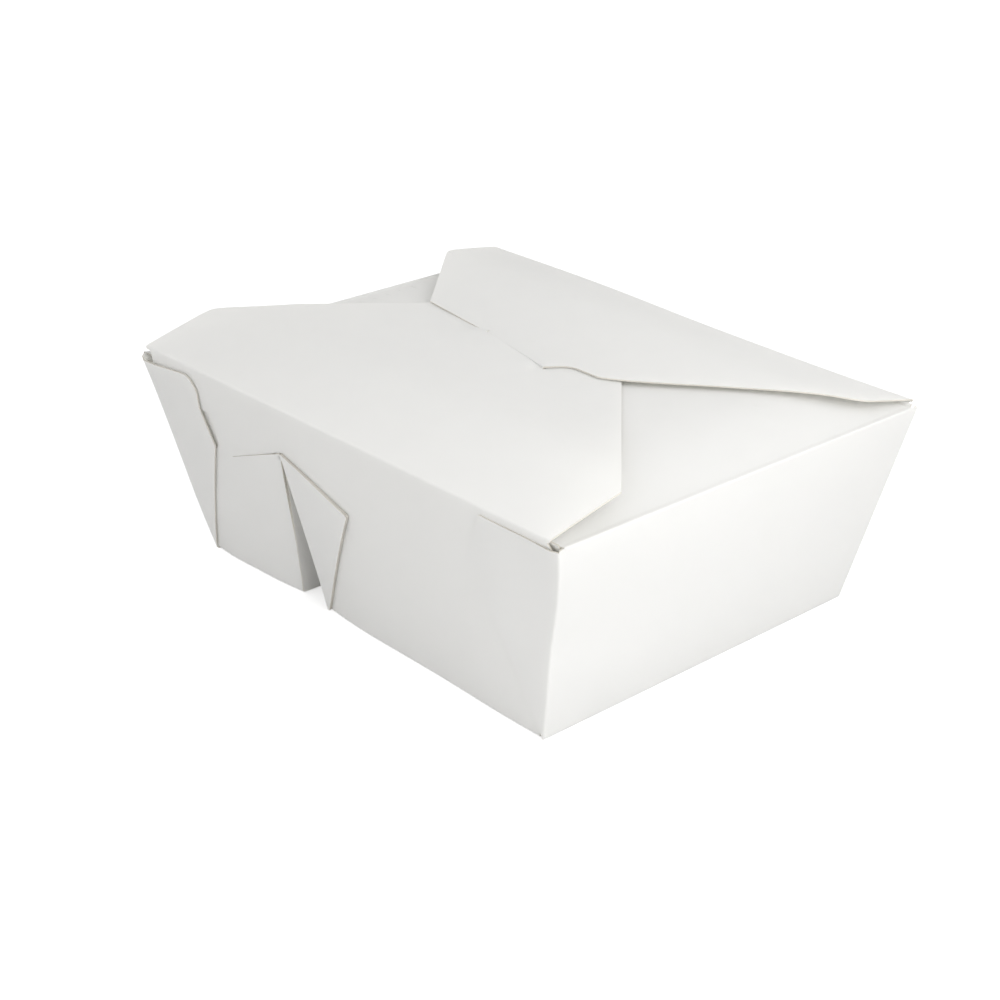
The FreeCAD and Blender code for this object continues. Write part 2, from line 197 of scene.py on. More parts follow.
class Curve:
    """Smooth curve through given points, such as the height of a bowed flap."""

    def __init__(self, points: Sequence[Flat]) -> None:
        """Fit a natural cubic through the points.

        Args:
            points: places (run, height) in rising order of run.
        """
        self.runs = [point[0] for point in points]
        self.heights = [point[1] for point in points]
        count = len(points)
        gaps = [self.runs[i + 1] - self.runs[i] for i in range(count - 1)]
        slopes = [(self.heights[i + 1] - self.heights[i]) / gaps[i] for i in range(count - 1)]
        diagonal = [1.0] * count
        load = [0.0] * count
        upper = [0.0] * count
        for i in range(1, count - 1):
            lean = gaps[i - 1] / diagonal[i - 1] if i > 1 else 0.0
            diagonal[i] = 2 * (gaps[i - 1] + gaps[i]) - lean * upper[i - 1]
            load[i] = 6 * (slopes[i] - slopes[i - 1]) - lean * load[i - 1]
            upper[i] = gaps[i]
        self.bends = [0.0] * count
        for i in range(count - 2, 0, -1):
            self.bends[i] = (load[i] - upper[i] * self.bends[i + 1]) / diagonal[i]

    def at(self, run: float) -> float:
        """Height of the curve.

        Args:
            run: place along the curve; past an end, the end's slope goes on.

        Returns:
            The height there.
        """
        last = len(self.runs) - 2
        index = 0
        while index < last and run > self.runs[index + 1]:
            index += 1
        gap = self.runs[index + 1] - self.runs[index]
        inside = min(max(run, self.runs[0]), self.runs[-1])
        b = (inside - self.runs[index]) / gap
        a = 1 - b
        low, high = self.heights[index], self.heights[index + 1]
        sag = ((a ** 3 - a) * self.bends[index] + (b ** 3 - b) * self.bends[index + 1]) * gap * gap / 6
        slope = (high - low) / gap + gap / 6 * (
            (1 - 3 * a * a) * self.bends[index] + (3 * b * b - 1) * self.bends[index + 1])
        return a * low + b * high + sag + slope * (run - inside)


@dataclass
class Sheet:
    """One thickness of board, cut to an outline and folded into place.

    Attributes:
        name: name of the piece.
        outline: the cut edge, on the flat board.
        fold: place of the visible face for a point of the flat board.
        along: lines of constant u at which the sheet may bend.
        across: lines of constant v at which the sheet may bend.
        thickness: thickness of the board.
        outward: 1 where the fold's own normal points out, -1 where it points in.
        holes: outlines of slits and holes.
        slants: slanted lines at which the sheet may bend, each a point and a normal.
        PROBE: distance over which a face's direction is measured.
        TOUCH: distance within which two places count as one.
    """

    name: str
    outline: list[Flat]
    fold: Fold
    along: list[float]
    across: list[float]
    thickness: float
    outward: int = 1
    holes: list[list[Flat]] = field(default_factory=list)
    slants: list[tuple[Flat, Flat]] = field(default_factory=list)

    PROBE = 0.02
    TOUCH = 1e-4

    def cells(self) -> bmesh.types.BMesh:
        """Fill the outline and divide it at its lines.

        Returns:
            The flat cells, in millimetres.
        """
        flat = bmesh.new()
        edges = []
        for loop in [self.outline] + self.holes:
            verts = [flat.verts.new((u, v, 0)) for u, v in loop]
            edges += [flat.edges.new((verts[i - 1], verts[i])) for i in range(len(verts))]
        bmesh.ops.triangle_fill(flat, edges=edges, use_beauty=True, normal=(0, 0, 1))
        for point, normal in self.bends():
            parts = flat.verts[:] + flat.edges[:] + flat.faces[:]
            bmesh.ops.bisect_plane(flat, geom=parts, dist=self.TOUCH, plane_co=point, plane_no=normal)
        loose = [edge for edge in flat.edges if len(edge.link_faces) == 2 and not self.on_line(edge)]
        bmesh.ops.dissolve_edges(flat, edges=loose, use_verts=False, use_face_split=False)
        bmesh.ops.recalc_face_normals(flat, faces=flat.faces[:])
        if flat.faces[:] and sum(face.normal.z for face in flat.faces) < 0:
            bmesh.ops.reverse_faces(flat, faces=flat.faces[:])
        return flat

    def bends(self) -> list[tuple[Vector, Vector]]:
        """All lines at which the sheet may bend, as points and normals."""
        lines = [(Vector((u, 0, 0)), Vector((1, 0, 0))) for u in self.along]
        lines += [(Vector((0, v, 0)), Vector((0, 1, 0))) for v in self.across]
        lines += [(Vector((*point, 0)), Vector((*normal, 0))) for point, normal in self.slants]
        return lines

    def on_line(self, edge: bmesh.types.BMEdge) -> bool:
        """Whether an edge lies on one of the lines at which the sheet may bend.

        Args:
            edge: the edge, on the flat board.

        Returns:
            True where it lies on such a line.
        """
        near = self.TOUCH * 10
        first, second = (vert.co for vert in edge.verts)
        for axis, lines in enumerate((self.along, self.across)):
            level = abs(first[axis] - second[axis]) < near
            if level and any(abs(first[axis] - line) < near for line in lines):
                return True
        for point, normal in self.slants:
            away = [(place.x - point[0]) * normal[0] + (place.y - point[1]) * normal[1]
                    for place in (first, second)]
            if max(abs(away[0]), abs(away[1])) < near:
                return True
        return False

    def facing(self, u: float, v: float) -> Vector:
        """Direction that the visible face looks in.

        Args:
            u: place along the flat board.
            v: place across the flat board.

        Returns:
            The unit normal.
        """
        step = self.PROBE
        along = self.fold(u + step, v) - self.fold(u - step, v)
        across = self.fold(u, v + step) - self.fold(u, v - step)
        return along.cross(across).normalized() * self.outward

    def build(self, finishes: Sequence[bpy.types.Material]) -> bpy.types.Object:
        """Fold the sheet and give it its thickness.

        Args:
            finishes: the face's material and the cut edge's material, whose dark tone is partly painted
                shade.

        Returns:
            The finished piece.
        """
        flat = self.cells()
        flat.verts.index_update()
        count = len(flat.verts)
        places = [self.fold(vert.co.x, vert.co.y) for vert in flat.verts]
        normals = [self.facing(vert.co.x, vert.co.y) for vert in flat.verts]
        inner = [place - normal * self.thickness for place, normal in zip(places, normals)]
        verts = [tuple(place * MM) for place in places + inner]
        faces: list[tuple[int, ...]] = []
        shading: list[Vector] = []
        for face in flat.faces:
            ring = [vert.index for vert in face.verts]
            if self.outward < 0:
                ring.reverse()
            faces.append(tuple(ring))
            shading += [normals[index] for index in ring]
            faces.append(tuple(index + count for index in reversed(ring)))
            shading += [-normals[index] for index in reversed(ring)]
        cut_start = len(faces)
        for edge in flat.edges:
            if len(edge.link_faces) != 1:
                continue
            loop = edge.link_loops[0]
            a, b = loop.vert.index, loop.link_loop_next.vert.index
            if self.outward < 0:
                a, b = b, a
            faces.append((b, a, a + count, b + count))
            level = (places[b] - places[a]).cross(inner[a] - places[a]).normalized()
            shading += [-level] * 4
        flat.free()
        mesh = bpy.data.meshes.new(self.name)
        mesh.from_pydata(verts, [], faces)
        for finish in finishes:
            mesh.materials.append(finish)
        for polygon in mesh.polygons:
            polygon.use_smooth = True
            # Cut edges take the second material, whose darkness is partly painted shade.
            polygon.material_index = int(polygon.index >= cut_start)
        mesh.normals_split_custom_set([tuple(normal) for normal in shading])
        piece = bpy.data.objects.new(self.name, mesh)
        bpy.context.scene.collection.objects.link(piece)
        return piece


@dataclass(frozen=True)
class BoardFinish:
    """White coated paperboard: satin face with faint mottle and fibre.

    Attributes:
        name: material name.
        tint: colour of the face, linear.
        shade: the darker colour in its mottle, linear.
        roughness: middle roughness.
        grain: height of the fibre grain, in metres.
        thinness: share of light that passes one face of the board.
        glow: colour of the light that passes, linear.
        MOTTLE_SCALE, FIBRE_SCALE, WAVE_SCALE: waves per metre of the three textures.
        MOTTLE_BAND: where the mottle turns from shade to tint.
        GLOSS_SPREAD: how far the roughness strays from its middle.
        WAVE_SHARE: share of the slow wave in the relief.
        RELIEF_STRENGTH: strength of the relief.
        SHEEN: the face's specular level.
    """

    name: str
    tint: tuple[float, float, float]
    shade: tuple[float, float, float]
    roughness: float = 0.5
    grain: float = 0.00002
    thinness: float = 0.32
    glow: tuple[float, float, float] = (0.97, 0.955, 0.90)

    MOTTLE_SCALE = 90.0
    FIBRE_SCALE = 1400.0
    WAVE_SCALE = 210.0
    MOTTLE_BAND = (0.3, 0.62)
    GLOSS_SPREAD = 0.07
    WAVE_SHARE = 0.35
    RELIEF_STRENGTH = 0.5
    SHEEN = 0.35

    def make(self) -> bpy.types.Material:
        """Build the material.

        Returns:
            The node material.
        """
        material = bpy.data.materials.new(self.name)
        material.use_nodes = True
        tree = material.node_tree
        nodes, links = tree.nodes, tree.links
        shader = nodes["Principled BSDF"]
        place = nodes.new("ShaderNodeTexCoord")

        def noise(scale: float, detail: float) -> bpy.types.Node:
            """Noise node in object space."""
            node = nodes.new("ShaderNodeTexNoise")
            node.inputs["Scale"].default_value = scale
            node.inputs["Detail"].default_value = detail
            links.new(place.outputs["Object"], node.inputs["Vector"])
            return node

        mottle = noise(self.MOTTLE_SCALE, 4.0)
        fibre = noise(self.FIBRE_SCALE, 3.0)
        wave = noise(self.WAVE_SCALE, 2.0)

        ramp = nodes.new("ShaderNodeValToRGB")
        for stop, place_on_ramp, colour in zip(
                ramp.color_ramp.elements, self.MOTTLE_BAND, (self.shade, self.tint)):
            stop.position = place_on_ramp
            stop.color = (*colour, 1)
        links.new(mottle.outputs["Fac"], ramp.inputs["Fac"])
        links.new(ramp.outputs["Color"], shader.inputs["Base Color"])

        gloss = nodes.new("ShaderNodeMapRange")
        gloss.inputs["To Min"].default_value = self.roughness - self.GLOSS_SPREAD
        gloss.inputs["To Max"].default_value = self.roughness + self.GLOSS_SPREAD
        links.new(fibre.outputs["Fac"], gloss.inputs["Value"])
        links.new(gloss.outputs["Result"], shader.inputs["Roughness"])

        relief = nodes.new("ShaderNodeMix")
        relief.inputs["Factor"].default_value = self.WAVE_SHARE
        links.new(fibre.outputs["Fac"], relief.inputs["A"])
        links.new(wave.outputs["Fac"], relief.inputs["B"])
        bump = nodes.new("ShaderNodeBump")
        bump.inputs["Strength"].default_value = self.RELIEF_STRENGTH
        bump.inputs["Distance"].default_value = self.grain
        links.new(relief.outputs["Result"], bump.inputs["Height"])
        links.new(bump.outputs["Normal"], shader.inputs["Normal"])
        shader.inputs["Specular IOR Level"].default_value = self.SHEEN

        through = nodes.new("ShaderNodeBsdfTranslucent")
        through.inputs["Color"].default_value = (*self.glow, 1)
        mix = nodes.new("ShaderNodeMixShader")
        mix.inputs["Fac"].default_value = self.thinness
        links.new(shader.outputs["BSDF"], mix.inputs[1])
        links.new(through.outputs["BSDF"], mix.inputs[2])
        links.new(mix.outputs["Shader"], nodes["Material Output"].inputs["Surface"])
        return material


@dataclass
class Tub:
    """Sizes of the tub, shared by every sheet of it.

    Attributes:
        board: thickness of the board.
        half_rim: half the length at the rim.
        half_width: half the width at the rim.
        half_base_width: half the width of the floor.
        base_small: x of the foot of the small compartment's end wall.
        base_large: x of the foot of the large compartment's end wall.
        rim: height of the rim.
        crease: height of the lid's creases.
        fold_place: x of the floor fold's crest.
        fold_rise: height of the floor fold's crest.
        fold_half: half the width of the floor fold at its foot.
        notch_left: x of the notch's foot on the small compartment's side.
        notch_right: x of the notch's foot on the large compartment's side.
        notch_top: x and height of the notch's top.
        notch_half: half the notch's width at its top.
        flap_half: half the length of a lid flap.
        bend: half the length of a rounded fold.
        small_bulge: how far the small compartment's end wall stands out, by height.
        foot_pull: how far a long wall's foot is pulled in, by x.
        FOOT_SPAN: from where to where along x that pull changes.
        BELLY, BELLY_WAVE: depth and length of a long wall's unevenness.
        CORNER_PULL: how far a long wall is pulled in by the large end wall.
        CORNER_SPAN, CORNER_RISE, CORNER_END: where that pull starts along x, starts up the
            wall and ends up the wall.
    """

    board: float = 0.45
    half_rim: float = 95.0
    half_width: float = 73.0
    half_base_width: float = 62.0
    base_small: float = -75.0
    base_large: float = 80.0
    rim: float = 65.0
    crease: float = 68.0
    fold_place: float = -26.9
    fold_rise: float = 51.0
    fold_half: float = 7.0
    notch_left: float = -32.8
    notch_right: float = -18.4
    notch_top: Flat = (-26.4, 50.8)
    notch_half: float = 0.5
    flap_half: float = 94.5
    bend: float = 0.8
    small_bulge: Curve = field(default_factory=lambda: Curve([
        (0, 2.0), (13, 2.7), (26, 2.9), (45, 2.9), (55, 2.2), (63, 1.2)]))
    foot_pull: Curve = field(default_factory=lambda: Curve([
        (-77, 0.0), (-68, -0.7), (-54, -0.2), (-42, 0.3), (-33, 1.3), (-26, 1.35), (-18, 0.9), (-10, 0.1),
        (20, -0.7), (44, -1.1), (66, -1.75), (76, -1.7)]))

    FOOT_SPAN = (-77.0, 78.0)
    BELLY = 0.35
    BELLY_WAVE = 30
    CORNER_PULL = 2.2
    CORNER_SPAN = (66, 93)
    CORNER_RISE = (18, 42)
    CORNER_END = 62

    @property
    def flare(self) -> float:
        """Outward lean of a long wall per unit of height."""
        return (self.half_width - self.half_base_width) / self.rim

    @property
    def slope(self) -> float:
        """Length up a long wall per unit of height."""
        return math.hypot(1, self.flare)

    @property
    def crease_y(self) -> float:
        """Half the distance between the two lid creases."""
        return self.half_base_width + self.flare * self.crease

    @property
    def crease_run(self) -> float:
        """Distance up a long wall to its crease."""
        return self.crease * self.slope

    @property
    def crest_run(self) -> float:
        """Distance up a long wall to the crest of the floor fold."""
        return self.fold_rise * self.slope

    def end_x(self, end: End, height: float) -> float:
        """Place of an end wall's outer face.

        Args:
            end: the end wall.
            height: height above the table.

        Returns:
            Its x there.
        """
        if end is End.LARGE:
            return self.base_large + (self.half_rim - self.base_large) * height / self.rim
        straight = self.base_small - (self.half_rim + self.base_small) * height / self.rim
        return straight - self.small_bulge.at(height)

    def wall_bow(self, side: Side, x: float, run: float) -> float:
        """How far a long wall is pulled in, most at the floor by the fold.

        Args:
            side: the wall.
            x: place along the wall.
            run: distance up the wall.

        Returns:
            The inward shift.
        """
        first, last = self.FOOT_SPAN
        pull = self.foot_pull.at(min(max(x, first), last))
        if side is Side.BACK:
            pull = max(pull, 0.0)
        low = 1 - smooth_step(run, 0, self.crease_run * 0.95)
        belly = self.BELLY * math.sin(math.pi * min(max(run / self.crease_run, 0), 1))
        corner = self.CORNER_PULL * smooth_step(x, *self.CORNER_SPAN) * smooth_step(run, *self.CORNER_RISE)
        corner *= 1 - smooth_step(run, self.CORNER_END, self.crease_run)
        return pull * low + belly * ripple(x, run, self.BELLY_WAVE, 1.0) + corner

    def long_wall(self, side: Side, x: float, run: float, lift: float = 0.0) -> Vector:
        """Point on the outer face of a long wall.

        Args:
            side: the wall.
            x: place along the wall.
            run: distance up the wall from its foot.
            lift: distance off the wall.

        Returns:
            The point.
        """
        height = run / self.slope
        y = self.half_base_width + self.flare * height - self.wall_bow(side, x, run)
        return Vector((x, side.value * (y + lift / self.slope), height - lift * self.flare / self.slope))


@dataclass
class LongPanel:
    """Long wall and its lid flap in one sheet, folded at the crease.

    Attributes:
        tub: shared sizes.
        side: the wall.
        profile: height of the flap over its depth from the crease.
        tilt: share by which the flap's bow is higher at the large end than in the middle.
        step: widest division of the sheet.
        lip_left: x and height of the left end of the slit over the floor fold.
        lip_right: x and height of its right end.
        lip_gap: width of that slit.
        window: corners (x, height, radius) of the finger hole.
        LIP_LIFT, LIP_RISE, LIP_SPARE: how far the wall below that slit stands off, between
            which runs it starts to, and how far past the slit's right end it still does.
        UNEVEN, UNEVEN_WAVE: height and length of the flap's unevenness.
        EDGE_HEIGHTS: heights at which the wall's side edge has a corner.
        HOLE_HEIGHTS, HOLE_DEPTH: bottom and top of the relief hole, and its depth.
        BESIDE_SHARES: further lines by a crease, in bends from it.
        CLEAR_SHARES: span by a crease without the evenly spaced lines, in bends from it.
    """

    tub: Tub
    side: Side
    profile: Curve
    tilt: float = 0.0
    step: float = 5.0
    lip_left: Flat = (-55.4, 41.2)
    lip_right: Flat = (-27.1, 52.2)
    lip_gap: float = 0.25
    window: tuple[tuple[float, ...], ...] = (
        (-71.0, 53.4), (-64.2, 53.6, 1.2), (-62.5, 49.8), (-61.9, 43.2, 0.4), (-64.0, 41.2), (-71.0, 43.0))

    LIP_LIFT = 0.55
    LIP_RISE = (12, 50)
    LIP_SPARE = 0.2
    UNEVEN = 0.12
    UNEVEN_WAVE = 34
    EDGE_HEIGHTS = (0, 13, 26, 45)
    HOLE_HEIGHTS = (62.4, 66.8)
    HOLE_DEPTH = 3.1
    BESIDE_SHARES = (-2.5, 1.5, 2.2, 3.2, 4.5)
    CLEAR_SHARES = (-2.2, 5.4)

    def flap_top(self, x: float, depth: float) -> Vector:
        """Point on the flap's upper face.

        Args:
            x: place along the crease.
            depth: distance from the crease, in plan.

        Returns:
            The point.
        """
        y = self.side.value * (self.tub.crease_y - depth)
        rise = self.profile.at(depth) - self.tub.crease
        if rise > 0:
            rise *= 1 + self.tilt * x / self.tub.flap_half
        return Vector((x, y, self.tub.crease + rise + self.droop(x, depth)))

    def droop(self, x: float, depth: float) -> float:
        """Unevenness of the flap's height.

        Args:
            x: place along the crease.
            depth: distance from the crease, in plan.

        Returns:
            The height that is added there.
        """
        fade = smooth_step(depth, 2, 25)
        return self.UNEVEN * ripple(x, depth, self.UNEVEN_WAVE, 2.0 + self.side.value) * fade

    def lip(self, x: float, run: float) -> float:
        """How far the wall below its slit stands off, by the floor fold.

        Args:
            x: place along the wall.
            run: distance up the wall.

        Returns:
            The distance off the wall.
        """
        (x0, z0), (x1, z1) = self.lip_left, self.lip_right
        edge = (z0 + (z1 - z0) * (x - x0) / (x1 - x0)) * self.tub.slope
        if x < x0 or x > x1 + self.LIP_SPARE or run > edge:
            return 0.0
        return self.LIP_LIFT * smooth_step(x, x0, x1) * smooth_step(run, *self.LIP_RISE)

    def fold(self, x: float, run: float) -> Vector:
        """Place of a point of the flat panel.

        Args:
            x: place along the crease.
            run: distance up the wall, and on over the flap.

        Returns:
            The point on the outer face.
        """
        tub = self.tub
        past = run - tub.crease_run
        if past < -tub.bend:
            return self.below_crease(x, run)
        if past > tub.bend:
            return self.flap_top(x, past)
        share = (past + tub.bend) / (2 * tub.bend)
        return turn_corner(
            tub.long_wall(self.side, x, tub.crease_run - tub.bend),
            Vector((x, self.side.value * tub.crease_y, tub.crease)),
            self.flap_top(x, tub.bend),
            share,
        )

    def below_crease(self, x: float, run: float) -> Vector:
        """Place of a point of the wall or of the floor beside it.

        Args:
            x: place along the wall.
            run: distance up the wall, negative on the floor.

        Returns:
            The point on the outer face.
        """
        tub = self.tub
        if run > tub.bend:
            return tub.long_wall(self.side, x, run, self.lip(x, run))
        if run < -tub.bend:
            return self.on_floor(x, run)
        return turn_corner(
            self.on_floor(x, -tub.bend),
            tub.long_wall(self.side, x, 0),
            tub.long_wall(self.side, x, tub.bend),
            (run + tub.bend) / (2 * tub.bend),
        )

    def on_floor(self, x: float, run: float) -> Vector:
        """Point on the underside of the floor.

        Args:
            x: place along the wall.
            run: distance from the foot of the wall, negative on the floor.

        Returns:
            The point.
        """
        tub = self.tub
        ease = 1 - smooth_step(-run, 0, 2 * tub.half_base_width)
        y = tub.half_base_width + run - tub.wall_bow(self.side, x, 0) * ease
        return Vector((x, self.side.value * y, 0))

    def wall_edge(self, end: End, run: float) -> float:
        """Place of the wall's side edge, under the gusset.

        Args:
            end: the end wall beside it.
            run: distance up the wall.

        Returns:
            Its x there.
        """
        return self.tub.end_x(end, run / self.tub.slope) - end.value * (self.tub.board + 0.2)

    def relief(self, end: End) -> list[tuple[float, ...]]:
        """Corners of the wall's side edge and relief hole.

        Args:
            end: the end wall beside them.

        Returns:
            The corners, from the foot up.
        """
        tub = self.tub
        low, high = (height * tub.slope for height in self.HOLE_HEIGHTS)
        edge_runs = [height * tub.slope for height in self.EDGE_HEIGHTS]
        edge = [(self.wall_edge(end, run), run) for run in edge_runs]
        inner = end.value * (tub.flap_half - self.HOLE_DEPTH)
        crease_inset = 1.6 if end is End.LARGE else 0.7
        return [*edge, (self.wall_edge(end, low), low), (inner, low + 0.2, 0.9), (inner, high, 0.9),
                (end.value * (tub.flap_half - crease_inset - 0.2), high + 0.3, 0.5),
                (end.value * (tub.flap_half - crease_inset), tub.crease_run)]

    def notch(self) -> list[tuple[float, ...]]:
        """Corners of the notch and the slit over the floor fold, small side first."""
        tub = self.tub
        (x0, z0), (x1, z1) = self.lip_left, self.lip_right
        half = self.lip_gap / 2
        return [(tub.notch_left, 0), (tub.notch_top[0] - tub.notch_half, tub.notch_top[1] * tub.slope),
                (x1, (z1 - half) * tub.slope), (x0, (z0 - half / 2) * tub.slope),
                (x0, (z0 + half / 2) * tub.slope), (x1 + 0.3, (z1 + half) * tub.slope),
                (tub.notch_top[0] + tub.notch_half, tub.notch_top[1] * tub.slope), (tub.notch_right, 0)]

    def holes(self) -> list[list[Flat]]:
        """Outline of the finger hole at the small end's gusset."""
        return [rounded([(x, z * self.tub.slope, *radius) for x, z, *radius in self.window])]

    def runs(self, low: float, high: float) -> list[float]:
        """Lines across the sheet, close together at its creases.

        Args:
            low: the sheet's lowest run.
            high: its highest run.

        Returns:
            The runs of the lines.
        """
        tub = self.tub
        lines = spaced(low, high, self.step)
        before, after = self.CLEAR_SHARES
        for crease in (0.0, tub.crease_run):
            lines = [line for line in lines if not before < (line - crease) / tub.bend < after]
            lines += fold_lines(crease, tub.bend)
            lines += [crease + tub.bend * share for share in self.BESIDE_SHARES]
        return sorted(lines)


def flap_points(panel: LongPanel, plan: Sequence[tuple[float, ...]]) -> list[tuple[float, ...]]:
    """Corners of a flap, placed on its flat panel.

    Args:
        panel: the panel that the flap belongs to.
        plan: places (x, depth, radius), with the depth from the crease.

    Returns:
        Places (x, run, radius) on the panel.
    """
    return [(x, panel.tub.crease_run + depth, *radius) for x, depth, *radius in plan]


@dataclass
class SlitPanel(LongPanel):
    """Front wall, floor and slit flap.

    Attributes:
        slit: the slit's ends, as x and depth.
        lip_rise: how far the flap's edge before the slit is pushed up to the tab's level.
        end_lift: how far the flap's edge at the small end is bowed up.
        depth: how far the flap reaches from its crease.
        slit_width: width of the slit.
        floor_gap: how far short of the back wall's foot the floor ends.
        RAMP_IN, RAMP_OUT: lengths before and in the slit over which the lip rises and falls.
        RAMP_SIDE: width past the slit's line over which the rise before it fades.
        LIP_BAND: from where to where before the slit the lip fades.
        END_SPAN, END_RISE, END_FALL: where along x the end's bow grows, and where over the
            depth it rises and falls.
    """

    slit: tuple[Flat, Flat] = ((-33.0, 89.15), (3.8, 80.05))
    lip_rise: tuple[float, float] = (0.55, 0.45)
    end_lift: float = 1.3
    depth: float = 109.5
    slit_width: float = 1.3
    floor_gap: float = 1.3

    RAMP_IN = 9.0
    RAMP_OUT = 7.0
    RAMP_SIDE = 8.0
    LIP_BAND = (1.0, 20.0)
    END_SPAN = (10, 80)
    END_RISE = (35, 60)
    END_FALL = (72, 95)

    def droop(self, x: float, depth: float) -> float:
        """Unevenness of the flap's height, with the raised lip before the slit.

        Args:
            x: place along the crease.
            depth: distance from the crease, in plan.

        Returns:
            The height that is added there.
        """
        (x0, d0), (x1, d1) = self.slit
        length = math.hypot(x1 - x0, d1 - d0)
        along = ((x - x0) * (x1 - x0) + (depth - d0) * (d1 - d0)) / length
        before = ((x - x0) * (d1 - d0) - (depth - d0) * (x1 - x0)) / length
        share = min(max(along / length, 0.0), 1.0)
        lift = self.lip_rise[0] + (self.lip_rise[1] - self.lip_rise[0]) * share
        lift *= smooth_step(along, -self.RAMP_IN, 0.0)
        lift *= 1 - smooth_step(along, length - self.RAMP_OUT, length - 0.2)
        lift *= 1 - smooth_step(before, *self.LIP_BAND)
        if along < 0:
            lift *= smooth_step(before, -self.RAMP_SIDE, 0.0)
        elif before < -0.2:
            lift = 0.0
        end = smooth_step(-x, *self.END_SPAN) * smooth_step(depth, *self.END_RISE)
        end *= 1 - smooth_step(depth, *self.END_FALL)
        return super().droop(x, depth) + lift + self.end_lift * end

    def build(self, finishes: Sequence[bpy.types.Material]) -> bpy.types.Object:
        """Cut and fold the panel.

        Args:
            finishes: face and cut edge materials.

        Returns:
            The piece.
        """
        tub = self.tub
        floor_end = -(2 * tub.half_base_width - self.floor_gap)
        left, right = self.wall_edge(End.SMALL, 0), self.wall_edge(End.LARGE, 0)
        half = tub.flap_half
        outline = rounded([
            (left, floor_end), (tub.notch_left, floor_end), *self.notch(),
            (tub.notch_right, floor_end), (right, floor_end), *self.relief(End.LARGE),
            *flap_points(self, [
                (half + 0.3, 23.4, 1.0), (8.0, self.depth, 6.0), (-62.5, self.depth, 6.0),
                (-half, 26.0, 6.0),
            ]),
            *reversed(self.relief(End.SMALL)),
        ])
        (x0, d0), (x1, d1) = self.slit
        near_left, near_right = (x0, tub.crease_run + d0), (x1, tub.crease_run + d1)
        far_left, far_right = (x0, near_left[1] + self.slit_width), (x1, near_right[1] + self.slit_width)
        slit = [near_left, near_right, far_right, far_left]
        sheet = Sheet(
            "slit_panel", outline, self.fold, spaced(-half, half, self.step),
            self.runs(floor_end, tub.crease_run + self.depth), tub.board, holes=[slit, *self.holes()])
        return sheet.build(finishes)


